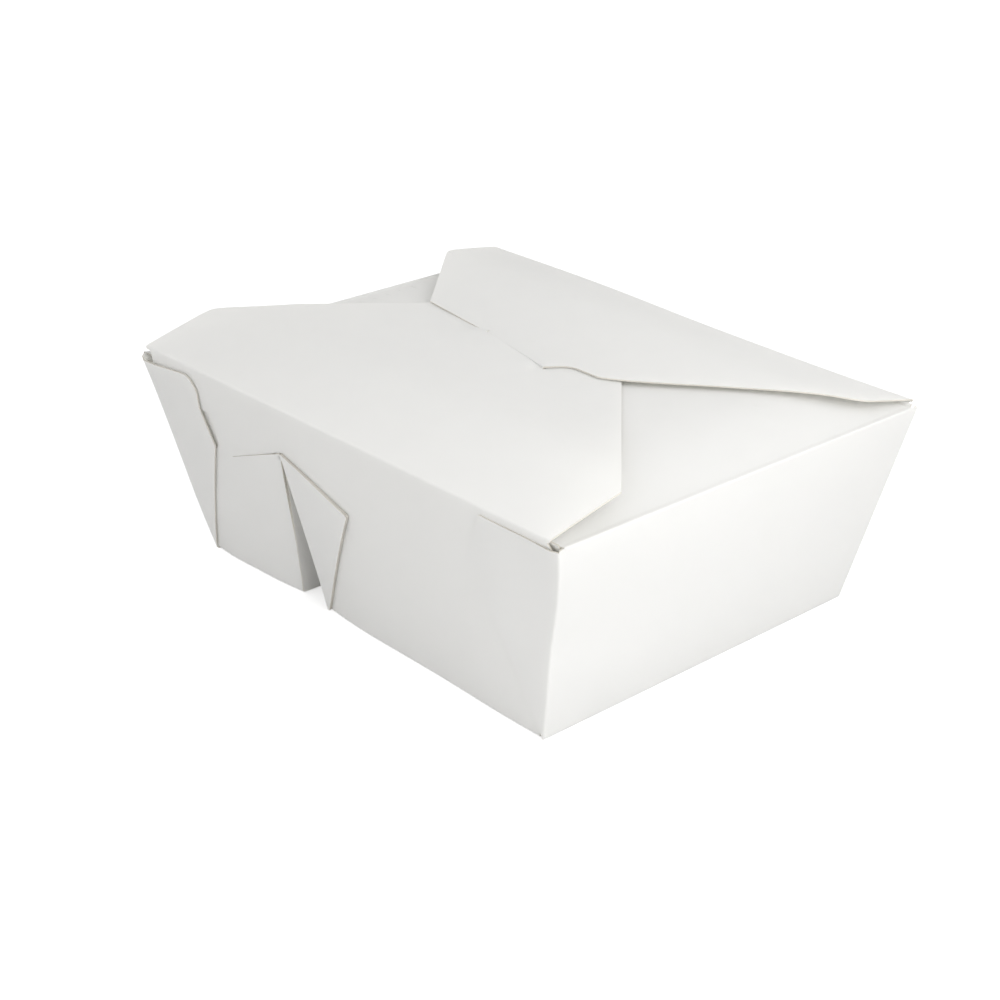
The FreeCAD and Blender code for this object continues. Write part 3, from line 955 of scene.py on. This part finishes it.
@dataclass
class TabPanel(LongPanel):
    """Back wall and tab flap; the tab goes down through the slit.

    Attributes:
        lean: how far the crease is out of level, by x.
        tab_left: x and depth of the left end of the tab's fold.
        tab_right: x and depth of its right end.
        tab_reach: length of the tab past its fold.
        tab_bend: half the length of its rounded fold.
        foot: run at which the panel starts, on the floor.
        span: depth from the crease over which the flap has lines.
        TAB_LINES: distances past the tab's fold at which the tab may bend.
        LEVEL_BAND, LEVEL_SHARE: where past the crease the lean is taken back, and how much.
        TAB_SIDE, TAB_ROOT: how far left of its fold's end, and from which depth on, a place
            can be on the tab.
    """

    lean: Curve = field(default_factory=lambda: Curve([
        (-94, 1.0), (-60, 1.05), (-33, 0.75), (0, -0.25), (35, -0.9), (60, -1.15), (94, -1.0)]))
    tab_left: Flat = (-32.7, 57.9)
    tab_right: Flat = (3.6, 66.9)
    tab_reach: float = 8.0
    tab_bend: float = 0.4
    foot: float = -1.0
    span: float = 75.0

    TAB_LINES = (2.0, 4.0, 6.0)
    LEVEL_BAND = (12, 48)
    LEVEL_SHARE = 1.3
    TAB_SIDE = 0.15
    TAB_ROOT = 30

    def fold(self, x: float, run: float) -> Vector:
        """Place of a point of the flat panel, with the crease out of level.

        Args:
            x: place along the crease.
            run: distance up the wall, and on over the flap.

        Returns:
            The point on the outer face.
        """
        place = super().fold(x, run)
        crease = self.tub.crease_run
        up = smooth_step(run, crease * 0.5, crease)
        first, last = self.LEVEL_BAND
        back = self.LEVEL_SHARE * smooth_step(run, crease + first, crease + last)
        place.z += self.lean.at(x) * up * (1 - back)
        return place

    def past_tab_line(self, x: float, depth: float) -> tuple[float, Flat]:
        """How far a point of the flap lies past the tab's fold.

        Args:
            x: place along the crease.
            depth: distance from the crease.

        Returns:
            The distance past the fold, and the nearest point of the fold.
        """
        start, end = Vector(self.tab_left), Vector(self.tab_right)
        along = (end - start).normalized()
        across = Vector((-along.y, along.x))
        offset = Vector((x, depth)) - start
        past = offset.dot(across)
        foot = start + along * offset.dot(along)
        return past, (foot.x, foot.y)

    def flap_top(self, x: float, depth: float) -> Vector:
        """Point on the flap's upper face, or on the tab past its fold.

        Args:
            x: place along the crease.
            depth: distance from the crease, in plan.

        Returns:
            The point.
        """
        past, (foot_x, foot_depth) = self.past_tab_line(x, depth)
        if past <= -self.tab_bend or x < self.tab_left[0] - self.TAB_SIDE or depth < self.TAB_ROOT:
            return super().flap_top(x, depth)
        root = super().flap_top(foot_x, foot_depth)
        if past < self.tab_bend:
            start = Vector(self.tab_left)
            along = (Vector(self.tab_right) - start).normalized()
            before_x = foot_x + along.y * self.tab_bend
            before_depth = foot_depth - along.x * self.tab_bend
            return turn_corner(
                super().flap_top(before_x, before_depth), root, self.down_tab(root, self.tab_bend),
                (past + self.tab_bend) / (2 * self.tab_bend))
        return self.down_tab(root, past)

    def down_tab(self, root: Vector, drop: float) -> Vector:
        """Point on the tab, which lies on a circle about the crease.

        Args:
            root: the nearest point of the tab's fold.
            drop: distance below that fold.

        Returns:
            The point.
        """
        reach = self.tub.crease_y - root.y
        return root + Vector((0, drop * drop / (2 * reach), -drop))

    def build(self, finishes: Sequence[bpy.types.Material]) -> bpy.types.Object:
        """Cut and fold the panel.

        Args:
            finishes: face and cut edge materials.

        Returns:
            The piece.
        """
        tub = self.tub
        left, right = self.wall_edge(End.SMALL, 0), self.wall_edge(End.LARGE, 0)
        half = tub.flap_half
        start, end = Vector(self.tab_left), Vector(self.tab_right)
        along = (end - start).normalized()
        across = Vector((-along.y, along.x))
        low_left = start + along * 1.5 + across * self.tab_reach
        low_right = end - along * 1.5 + across * self.tab_reach
        outline = rounded([
            (left, self.foot), (tub.notch_left, self.foot), *self.notch(),
            (tub.notch_right, self.foot), (right, self.foot), *self.relief(End.LARGE),
            *flap_points(self, [
                (half - 6.0, 18.0, 10.0), (20.5, 59.7, 6.0), (7.5, 59.3, 6.0),
                tuple(end), (*low_right, 2.5), (*low_left, 2.5), (start.x, start.y + 0.2),
                (start.x, start.y - 0.9), (start.x - 0.25, start.y - 0.9), (start.x - 0.25, start.y - 0.04),
                (-67.5, 52.6, 0.8), (-half, 22.0, 6.0),
            ]),
            *reversed(self.relief(End.SMALL)),
        ])
        offsets = [*fold_lines(0.0, self.tab_bend), *self.TAB_LINES]
        slants = [
            ((start.x + across.x * offset, tub.crease_run + start.y + across.y * offset), tuple(across))
            for offset in offsets]
        sheet = Sheet(
            "tab_panel", outline, self.fold, spaced(-half, half, self.step),
            self.runs(self.foot, tub.crease_run + self.span), tub.board,
            outward=-1, holes=self.holes(), slants=slants)
        return sheet.build(finishes)


@dataclass
class Gusset:
    """Outline of one corner gusset on a long wall.

    Attributes:
        corners: places (inset from the corner edge, height, radius), foot first.
        corner_lift: distance of its face from the wall's, by the corner edge.
        edge_lift: the same at its free edge.
        top_lift: more of that along its top.
        front_corner: how far the front corner edge stands off the long wall, by height.
        back_corner: the same at the back.
    """

    corners: list[tuple[float, ...]]
    corner_lift: float
    edge_lift: float
    top_lift: float
    front_corner: Curve
    back_corner: Curve


@dataclass
class EndPanel:
    """End wall with its corner gussets and end flap, in one sheet.

    The flat place w is the share across the end wall, in millimetres at its foot. Past
    half the base width it is the inset along a long wall.

    Attributes:
        tub: shared sizes.
        end: the end wall.
        gusset: outline of its gussets.
        flap: corners (half width, depth, radius) of the end flap, root first.
        rise: height of the flap above the rim over its depth.
        rim: height of the crease of the end flap.
        step: widest division of the sheet.
        twist: how far the wall's front corner stands out, by height.
        SPREAD: inset over which a gusset leaves the corner edge for its own face.
        FULL_HEIGHT: height from which its edge reaches its lift over that whole inset.
        TOP_BAND: heights between which its top lift grows.
        UNEVEN, UNEVEN_WAVE: height and length of the flap's unevenness.
        FLAP_LINES: depths of the flap at which lines keep its root round.
        CLEAR: distance past a fold without the evenly spaced lines.
    """

    tub: Tub
    end: End
    gusset: Gusset
    flap: list[tuple[float, ...]]
    rise: Curve
    rim: float = 65.0
    step: float = 5.0
    twist: Curve = field(default_factory=lambda: Curve([(0, 0.0), (65, 0.0)]))

    SPREAD = 24
    FULL_HEIGHT = 45
    TOP_BAND = (56, 64)
    UNEVEN = 0.12
    UNEVEN_WAVE = 24
    FLAP_LINES = (1.2, 1.8, 2.6, 3.6)
    CLEAR = 0.6

    @property
    def slope(self) -> float:
        """Length up the end wall per unit of height."""
        tub = self.tub
        return math.hypot(1, (tub.end_x(self.end, tub.rim) - tub.end_x(self.end, 0)) / tub.rim)

    @property
    def rim_run(self) -> float:
        """Distance up the end wall to its rim."""
        return self.rim * self.slope

    def corner_y(self, sign: float, height: float) -> float:
        """Distance of a corner edge from the middle plane.

        Args:
            sign: sign of the corner's y.
            height: height above the table.

        Returns:
            The distance there.
        """
        tub = self.tub
        curve = self.gusset.front_corner if sign < 0 else self.gusset.back_corner
        return tub.half_base_width + tub.flare * height + curve.at(height)

    def wall(self, w: float, run: float) -> Vector:
        """Point on the end wall or on a gusset.

        Args:
            w: flat place across the end.
            run: distance up the end wall.

        Returns:
            The point on the outer face.
        """
        tub = self.tub
        height = run / self.slope
        sign = -1.0 if w < 0 else 1.0
        twist = self.twist.at(height) * min(max(0.5 - w / tub.half_base_width / 2, 0.0), 1.0)
        x_corner = tub.end_x(self.end, height) + self.end.value * twist
        y_corner = self.corner_y(sign, height)
        past = abs(w) - tub.half_base_width
        if past <= -tub.bend:
            share = (tub.half_base_width + past) / (tub.half_base_width - tub.bend)
            y = sign * (y_corner - tub.bend) * share
            belly = self.belly(share, height)
            return Vector((x_corner + self.end.value * belly, y, height))
        if past >= tub.bend:
            return self.on_long_wall(sign, past, height, x_corner)
        corner = Vector((x_corner, sign * y_corner, height))
        before = Vector((x_corner, sign * (y_corner - tub.bend), height))
        after = self.on_long_wall(sign, tub.bend, height, x_corner)
        return turn_corner(before, corner, after, (past + tub.bend) / (2 * tub.bend))

    def on_long_wall(self, sign: float, inset: float, height: float, x_corner: float) -> Vector:
        """Point on a gusset.

        Args:
            sign: sign of the long wall's y.
            inset: distance from the corner edge.
            height: height above the table.
            x_corner: x of the corner edge there.

        Returns:
            The point on the gusset's outer face.
        """
        tub = self.tub
        x = x_corner - self.end.value * inset
        bow = tub.wall_bow(Side.FRONT if sign < 0 else Side.BACK, x, height * tub.slope)
        gusset = self.gusset
        near = smooth_step(inset, 0, self.SPREAD * min(max(height / self.FULL_HEIGHT, 0.1), 1))
        lift = gusset.corner_lift + (gusset.edge_lift - gusset.corner_lift) * near
        lift += gusset.top_lift * smooth_step(height, *self.TOP_BAND)
        y = tub.half_base_width + tub.flare * height - bow + lift
        spread = smooth_step(inset, 0, self.SPREAD)
        y = self.corner_y(sign, height) * (1 - spread) + y * spread
        return Vector((x, sign * y, height))

    def belly(self, share: float, height: float) -> float:
        """Outward bulge of the end wall, none at its corners.

        Args:
            share: place from the middle, 0, to a corner, 1 or -1.
            height: height above the table.

        Returns:
            The bulge.
        """
        tub = self.tub
        across = math.cos(math.pi / 2 * min(abs(share), 1))
        up = math.sin(math.pi * min(max(height / tub.rim, 0), 1))
        uneven = 0.2 * ripple(share * tub.half_width, height, 26, 4.0 + self.end.value)
        return (0.5 + uneven) * across * up

    def flap_top(self, w: float, depth: float) -> Vector:
        """Point on the end flap's upper face.

        Args:
            w: flat place across the end.
            depth: distance from the rim.

        Returns:
            The point.
        """
        tub = self.tub
        y = w / tub.half_base_width * tub.half_width
        x = self.end.value * (tub.half_rim - depth)
        uneven = self.UNEVEN * ripple(y, depth, self.UNEVEN_WAVE, 6.0) * smooth_step(depth, 2, 20)
        return Vector((x, y, self.rim + self.rise.at(depth) + uneven))

    def fold(self, w: float, run: float) -> Vector:
        """Place of a point of the flat panel.

        Args:
            w: flat place across the end.
            run: distance up the end wall, and on over the flap.

        Returns:
            The point on the outer face.
        """
        tub = self.tub
        past = run - self.rim_run
        if past > tub.bend:
            return self.flap_top(w, past)
        if past < -tub.bend or abs(w) > tub.half_base_width - 2:
            if run >= tub.bend:
                return self.wall(w, run)
            if run <= -tub.bend:
                return self.under(w, run)
            return turn_corner(
                self.under(w, -tub.bend), self.wall(w, 0), self.wall(w, tub.bend),
                (run + tub.bend) / (2 * tub.bend))
        rim_point = self.wall(w, self.rim_run)
        return turn_corner(
            self.wall(w, self.rim_run - tub.bend), rim_point, self.flap_top(w, tub.bend),
            (past + tub.bend) / (2 * tub.bend))

    def under(self, w: float, run: float) -> Vector:
        """Point on the underside, past the foot of the end wall.

        Args:
            w: flat place across the end.
            run: distance from the foot, negative on the underside.

        Returns:
            The point.
        """
        foot = self.wall(w, 0)
        return Vector((foot.x + self.end.value * run, foot.y, 0))

    def build(self, name: str, finishes: Sequence[bpy.types.Material]) -> bpy.types.Object:
        """Cut and fold the panel.

        Args:
            name: name of the piece.
            finishes: face and cut edge materials.

        Returns:
            The piece.
        """
        tub = self.tub
        base = tub.half_base_width
        rim = self.rim_run
        right: list[tuple[float, ...]] = [(base - 0.5, -1.0), (base + 0.3, 0.3)]
        for inset, height, *radius in self.gusset.corners:
            right.append((base + inset, height * self.slope, *radius))
        right += [(base + 0.1, self.gusset.corners[-1][1] * self.slope, 0.3), (base - 0.3, rim - 0.6, 0.3)]
        scale = base / tub.half_width
        for half, depth, *radius in self.flap:
            right.append((half * scale, rim + depth, *radius))
        left = [(-corner[0], *corner[1:]) for corner in reversed(right)]
        outline = rounded(right + left)
        widest = base + max(corner[0] for corner in self.gusset.corners)
        deepest = rim + max(corner[1] for corner in self.flap)
        clear = tub.bend + self.CLEAR
        along = [line for line in spaced(-widest, widest, self.step) if abs(abs(line) - base) > clear]
        for corner in (-base, base):
            along += fold_lines(corner, tub.bend)
        across = [line for line in spaced(-1.0, deepest, self.step)
                  if min(abs(line), abs(line - rim)) > clear]
        for crease in (0.0, rim):
            across += fold_lines(crease, tub.bend)
        across += [rim + depth for depth in self.FLAP_LINES]
        outward = self.end.value
        sheet = Sheet(name, outline, self.fold, sorted(along), sorted(across), tub.board, outward=outward)
        return sheet.build(finishes)


@dataclass
class WallLayer:
    """Flat layer of board that follows a long wall, outside it or inside it.

    Attributes:
        tub: shared sizes.
        side: the wall.
        corners: places (x, run up the wall, radius).
        base_lift: distance of its outer face off the wall's, negative inside the wall.
        edge_lift: further lift at its loose end.
        loose: from where to where along x the lift grows.
        STEP: widest division of the layer.
    """

    tub: Tub
    side: Side
    corners: list[tuple[float, ...]]
    base_lift: float
    edge_lift: float = 0.0
    loose: Flat = (0.0, 1.0)

    STEP = 4.0

    def fold(self, x: float, run: float) -> Vector:
        """Place of a point of the flat layer.

        Args:
            x: place along the wall.
            run: distance up the wall.

        Returns:
            The point on the outer face.
        """
        start, end = self.loose
        if start < end:
            spread = smooth_step(x, start, end)
        else:
            spread = 1 - smooth_step(x, end, start)
        return self.tub.long_wall(self.side, x, run, self.base_lift + self.edge_lift * spread)

    def build(self, name: str, finishes: Sequence[bpy.types.Material]) -> bpy.types.Object:
        """Cut the layer.

        Args:
            name: name of the piece.
            finishes: face and cut edge materials.

        Returns:
            The piece.
        """
        xs = [corner[0] for corner in self.corners]
        runs = [corner[1] for corner in self.corners]
        outward = -self.side.value
        sheet = Sheet(
            name, rounded(self.corners), self.fold, spaced(min(xs), max(xs), self.STEP),
            spaced(min(runs), max(runs), self.STEP), self.tub.board, outward=outward)
        return sheet.build(finishes)


@dataclass
class FloorFold:
    """Inverted V of the floor that divides the compartments.

    Attributes:
        tub: shared sizes.
        FOOT_INSET, CREST_INSET: how far its ends stay inside the long walls.
        CREST_CLEAR: distance from the crest without the evenly spaced lines.
    """

    tub: Tub

    FOOT_INSET = 1.4
    CREST_INSET = 0.45
    CREST_CLEAR = 1.5

    def fold(self, run: float, y: float) -> Vector:
        """Place of a point, run from the crest down either face.

        Args:
            run: distance from the crest, negative towards the small compartment.
            y: place along the crest.

        Returns:
            The point on the upper face.
        """
        tub = self.tub
        length = math.hypot(tub.fold_rise, tub.fold_half)
        share = min(abs(run) / length, 1.0)
        crest = Vector((tub.fold_place, y, tub.fold_rise))
        foot = Vector((tub.notch_left if run < 0 else tub.notch_right, y, tub.board))

        def face(distance: float) -> Vector:
            """Point down one face."""
            return crest.lerp(foot, distance / length)

        if abs(run) < tub.bend:
            before = Vector((2 * tub.fold_place - face(tub.bend).x, y, face(tub.bend).z))
            return turn_corner(before, crest, face(tub.bend), (abs(run) + tub.bend) / (2 * tub.bend))
        return face(share * length)

    def build(self, name: str, finishes: Sequence[bpy.types.Material]) -> bpy.types.Object:
        """Cut and fold the V.

        Args:
            name: name of the piece.
            finishes: face and cut edge materials.

        Returns:
            The piece.
        """
        tub = self.tub
        length = math.hypot(tub.fold_rise, tub.fold_half)
        foot_y = tub.half_base_width - self.FOOT_INSET
        crest_y = tub.half_base_width + tub.flare * tub.fold_rise - self.CREST_INSET
        outline = rounded([
            (-length, -foot_y), (0, -crest_y), (length, -foot_y),
            (length, foot_y), (0, crest_y), (-length, foot_y),
        ])
        along = [line for line in spaced(-length, length, 6.0) if abs(line) > self.CREST_CLEAR]
        along += fold_lines(0.0, tub.bend)
        sheet = Sheet(name, outline, self.fold, sorted(along), spaced(-crest_y, crest_y, 10.0), tub.board)
        return sheet.build(finishes)


@dataclass
class Studio:
    """Pale floor, soft lamps and the camera at the photograph's angle.

    Attributes:
        azimuth: turn of the camera about the vertical, in degrees.
        elevation: how far the camera looks down, in degrees.
        position: place of the camera, in metres.
        lens: its focal length, in millimetres.
        AIM: point that the lamps look at, in metres.
        LAMPS: name, place in metres, side in metres and watts of each lamp.
        SURROUNDINGS: strength of the surroundings as a light.
        FLOOR_HALF, FLOOR_DROP: half the floor's side and its depth below the box, in metres.
        FLOOR_GREY, FLOOR_GLOW: the floor's tone, and the light that lifts it to white.
    """

    azimuth: float = 48.43
    elevation: float = 24.91
    position: tuple[float, float, float] = (0.43602, -0.39452, 0.29748)
    lens: float = 74.4

    AIM = (0, 0, 0.04)
    LAMPS = (
        ("key", (0.36, -0.06, 0.23), 0.32, 0.70),
        ("top", (0.12, 0.10, 0.27), 0.3, 0.07),
        ("fill", (0.06, -0.5, 0.12), 0.3, 0.23),
    )
    SURROUNDINGS = 0.80
    FLOOR_HALF = 3.0
    FLOOR_DROP = 0.0002
    FLOOR_GREY = 0.8
    FLOOR_GLOW = 0.55

    def camera(self) -> None:
        """Place the camera."""
        data = bpy.data.cameras.new("camera")
        data.lens = self.lens
        data.sensor_width = 36.0
        data.sensor_fit = "HORIZONTAL"
        data.clip_start = 0.01
        camera = bpy.data.objects.new("camera", data)
        camera.location = self.position
        camera.rotation_euler = (
            math.radians(90 - self.elevation), 0, math.radians(self.azimuth))
        bpy.context.scene.collection.objects.link(camera)
        bpy.context.scene.camera = camera

    def lamp(self, name: str, place: Sequence[float], size: float, watts: float) -> None:
        """Add a soft square lamp aimed at the box.

        Args:
            name: name of the lamp.
            place: where it stands, in metres.
            size: length of its side, in metres.
            watts: its power.
        """
        data = bpy.data.lights.new(name, "AREA")
        data.shape = "SQUARE"
        data.size = size
        data.energy = watts
        lamp = bpy.data.objects.new(name, data)
        lamp.location = place
        lamp.visible_camera = False
        aim = Vector(self.AIM) - Vector(place)
        lamp.rotation_euler = aim.to_track_quat("-Z", "Y").to_euler()
        bpy.context.scene.collection.objects.link(lamp)

    def world(self, light: float) -> None:
        """White surroundings, dimmer as light than as background.

        Args:
            light: strength of the surroundings as a light.
        """
        world = bpy.data.worlds.new("surroundings")
        bpy.context.scene.world = world
        world.use_nodes = True
        nodes, links = world.node_tree.nodes, world.node_tree.links
        path = nodes.new("ShaderNodeLightPath")
        seen = nodes.new("ShaderNodeMath")
        seen.operation = "MAXIMUM"
        links.new(path.outputs["Is Camera Ray"], seen.inputs[0])
        links.new(path.outputs["Is Glossy Ray"], seen.inputs[1])
        through = nodes.new("ShaderNodeMath")
        through.operation = "MAXIMUM"
        links.new(seen.outputs[0], through.inputs[0])
        links.new(path.outputs["Is Transmission Ray"], through.inputs[1])
        strength = nodes.new("ShaderNodeMapRange")
        strength.inputs["To Min"].default_value = light
        strength.inputs["To Max"].default_value = 1.0
        links.new(through.outputs[0], strength.inputs["Value"])
        links.new(strength.outputs["Result"], nodes["Background"].inputs["Strength"])
        nodes["Background"].inputs["Color"].default_value = (1, 1, 1, 1)

    def floor(self) -> None:
        """Lay the floor, which shows only the box's shadow on white."""
        data = bpy.data.meshes.new("floor")
        half = self.FLOOR_HALF
        corners = [(-half, -half, 0), (half, -half, 0), (half, half, 0), (-half, half, 0)]
        data.from_pydata(corners, [], [(0, 1, 2, 3)])
        floor = bpy.data.objects.new("floor", data)
        floor.location.z = -self.FLOOR_DROP
        bpy.context.scene.collection.objects.link(floor)
        material = bpy.data.materials.new("floor_white")
        material.use_nodes = True
        nodes, links = material.node_tree.nodes, material.node_tree.links
        shader = nodes["Principled BSDF"]
        grey = self.FLOOR_GREY
        shader.inputs["Base Color"].default_value = (grey, grey, grey, 1)
        shader.inputs["Roughness"].default_value = 0.9
        shader.inputs["Specular IOR Level"].default_value = 0.0
        path = nodes.new("ShaderNodeLightPath")
        glow = nodes.new("ShaderNodeEmission")
        lift = nodes.new("ShaderNodeMath")
        lift.operation = "MULTIPLY"
        lift.inputs[1].default_value = self.FLOOR_GLOW
        links.new(path.outputs["Is Camera Ray"], lift.inputs[0])
        links.new(lift.outputs[0], glow.inputs["Strength"])
        add = nodes.new("ShaderNodeAddShader")
        links.new(shader.outputs[0], add.inputs[0])
        links.new(glow.outputs[0], add.inputs[1])
        links.new(add.outputs[0], nodes["Material Output"].inputs["Surface"])
        data.materials.append(material)

    def build(self) -> None:
        """Set up camera, lamps, surroundings and floor."""
        bpy.context.scene.view_settings.view_transform = "Standard"
        self.camera()
        for name, place, size, watts in self.LAMPS:
            self.lamp(name, place, size, watts)
        self.world(self.SURROUNDINGS)
        self.floor()


class TakeoutBox:
    """The whole box, sheet by sheet."""

    def __init__(self) -> None:
        """Settle the shared sizes and the two finishes."""
        self.tub = Tub()
        face = BoardFinish("white_board", (0.955, 0.957, 0.957), (0.944, 0.946, 0.945)).make()
        # Cut edge tone: partly the raw board's own beige, partly painted shade, darkened to stand in for the
        # shadow lines along edges that stand off the board below.
        cut = BoardFinish("cut_edge_with_painted_shade", (0.74, 0.71, 0.65), (0.62, 0.59, 0.54), 0.8).make()
        self.finishes = (face, cut)

    def settle(self, piece: bpy.types.Object) -> bpy.types.Object:
        """Fix a piece to the carton and log its count of faces.

        Args:
            piece: the piece.

        Returns:
            The same piece.
        """
        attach(piece, "carton")
        LOG.info("%s: %d faces", piece.name, len(piece.data.polygons))
        return piece

    def lid(self) -> None:
        """Build the two long panels with their lid flaps."""
        tub = self.tub
        slit_profile = Curve([
            (0, 68.0), (6, 69.7), (12, 71.35), (18, 72.95), (22, 74.0), (26, 74.6), (31, 74.5),
            (40.5, 73.3), (48.5, 72.0), (56.5, 70.6), (64.5, 69.35), (72.5, 68.4), (80.5, 67.75),
            (88.5, 67.3), (96.5, 66.95), (111, 66.8)])
        slit_panel = SlitPanel(tub, Side.FRONT, slit_profile, tilt=0.12).build(self.finishes)
        self.settle(slit_panel)
        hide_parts("carton")
        tab_profile = Curve([
            (0, 68.0), (6, 68.95), (12, 69.9), (18, 70.8), (22, 71.3), (26, 71.3), (33.5, 70.4),
            (41.5, 69.25), (47.5, 68.5), (53.5, 68.0), (60, 68.0), (66, 68.4), (76, 69.4)])
        tab_panel = TabPanel(tub, Side.BACK, tab_profile).build(self.finishes)
        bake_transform(tab_panel)
        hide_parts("tab_flap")
        LOG.info("%s: %d faces", tab_panel.name, len(tab_panel.data.polygons))

    def ends(self) -> None:
        """Build the two end panels with their gussets and flaps."""
        tub = self.tub
        straight = Curve([(0, 0.3), (30, 0.3), (65, 0.3)])
        large_gusset = Gusset(
            [(35.0, 50.3, 1.5), (30.0, 65.5, 1.0), (14.0, 64.9), (3.6, 64.0, 0.6), (1.2, 64.6)],
            corner_lift=0.9, edge_lift=0.15, top_lift=0.3,
            front_corner=Curve([
                (0, 2.3), (8, 2.15), (14, 1.9), (27, 0.9), (38, -0.4), (48, -1.0), (57, -0.9), (66, -0.6)]),
            back_corner=straight)
        large = EndPanel(
            tub, End.LARGE, large_gusset,
            flap=[(70.4, 0.1), (70.2, 5.0, 2.0), (28.0, 74.0, 14.0)],
            rise=Curve([
                (0, 0), (1.2, -0.25), (3, -0.2), (8, 0.5), (15, 1.5), (25, 2.5), (35, 2.5), (50, 1.6),
                (65, 0.6), (75, 0.0)]),
            rim=65.8,
            twist=Curve([(0, 1.5), (10, 1.7), (18, 1.5), (30, 0.7), (45, 0.5), (58, 0.6), (66, 0.2)]))
        self.settle(large.build("large_end", self.finishes))
        small_gusset = Gusset(
            [(13.85, 21.0), (28.1, 42.4, 1.0), (26.4, 54.4, 3.0), (28.0, 60.0, 3.0), (26.0, 64.9, 4.0),
             (6.5, 63.0, 4.0), (4.3, 62.9)],
            corner_lift=0.9, edge_lift=0.9, top_lift=0.0,
            front_corner=Curve([(0, 0.9), (15, 0.95), (58, 0.95), (65, 1.6)]),
            back_corner=straight)
        small = EndPanel(
            tub, End.SMALL, small_gusset,
            flap=[(71.2, 0.4), (70.6, 5.0, 2.0), (34.0, 52.0, 14.0)],
            rise=Curve([(0, 0), (1.5, -0.35), (4, -0.2), (10, 0.1), (25, 0.4), (40, 0.2), (53, 0.0)]),
            rim=64.5)
        self.settle(small.build("small_end", self.finishes))

    def layers(self) -> None:
        """Build the gussets of the floor fold and the layers behind the walls' holes."""
        tub = self.tub
        slope = tub.slope
        left, right = tub.notch_right, 4.3
        kite = [
            (left, 0.5), (left + 0.9, 0.4), (right, 42.4 * slope, 0.8), (-26.5, 52.6 * slope, 0.3),
            (tub.notch_top[0] + tub.notch_half, tub.notch_top[1] * slope)]
        backings = {
            "tongue": (-0.6, [(-74.0, 36.0), (-57.0, 36.0), (-57.0, 57.0), (-74.0, 57.0)]),
            "web": (-1.2, [(87.0, 59.5), (92.6, 59.5), (94.0, 66.0), (87.0, 66.0)]),
        }
        for side in Side:
            for layer, word in ((1, "inner"), (2, "outer")):
                gusset = WallLayer(
                    tub, side, kite, (tub.board + 0.05) * layer, edge_lift=0.15 * layer, loose=(left, right))
                self.settle(gusset.build(f"{side.name.lower()}_fold_gusset_{word}", self.finishes))
            for word, (lift, corners) in backings.items():
                backing = WallLayer(tub, side, [(x, height * slope) for x, height in corners], lift)
                self.settle(backing.build(f"{side.name.lower()}_{word}", self.finishes))

    def build(self) -> None:
        """Build every sheet."""
        self.lid()
        self.ends()
        self.layers()
        self.settle(FloorFold(self.tub).build("floor_fold", self.finishes))


def main() -> None:
    """Load the frame, and build the box and the studio."""
    logging.basicConfig(level=logging.INFO, format="%(message)s")
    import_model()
    TakeoutBox().build()
    Studio().build()


if __name__ == "__main__":
    main()
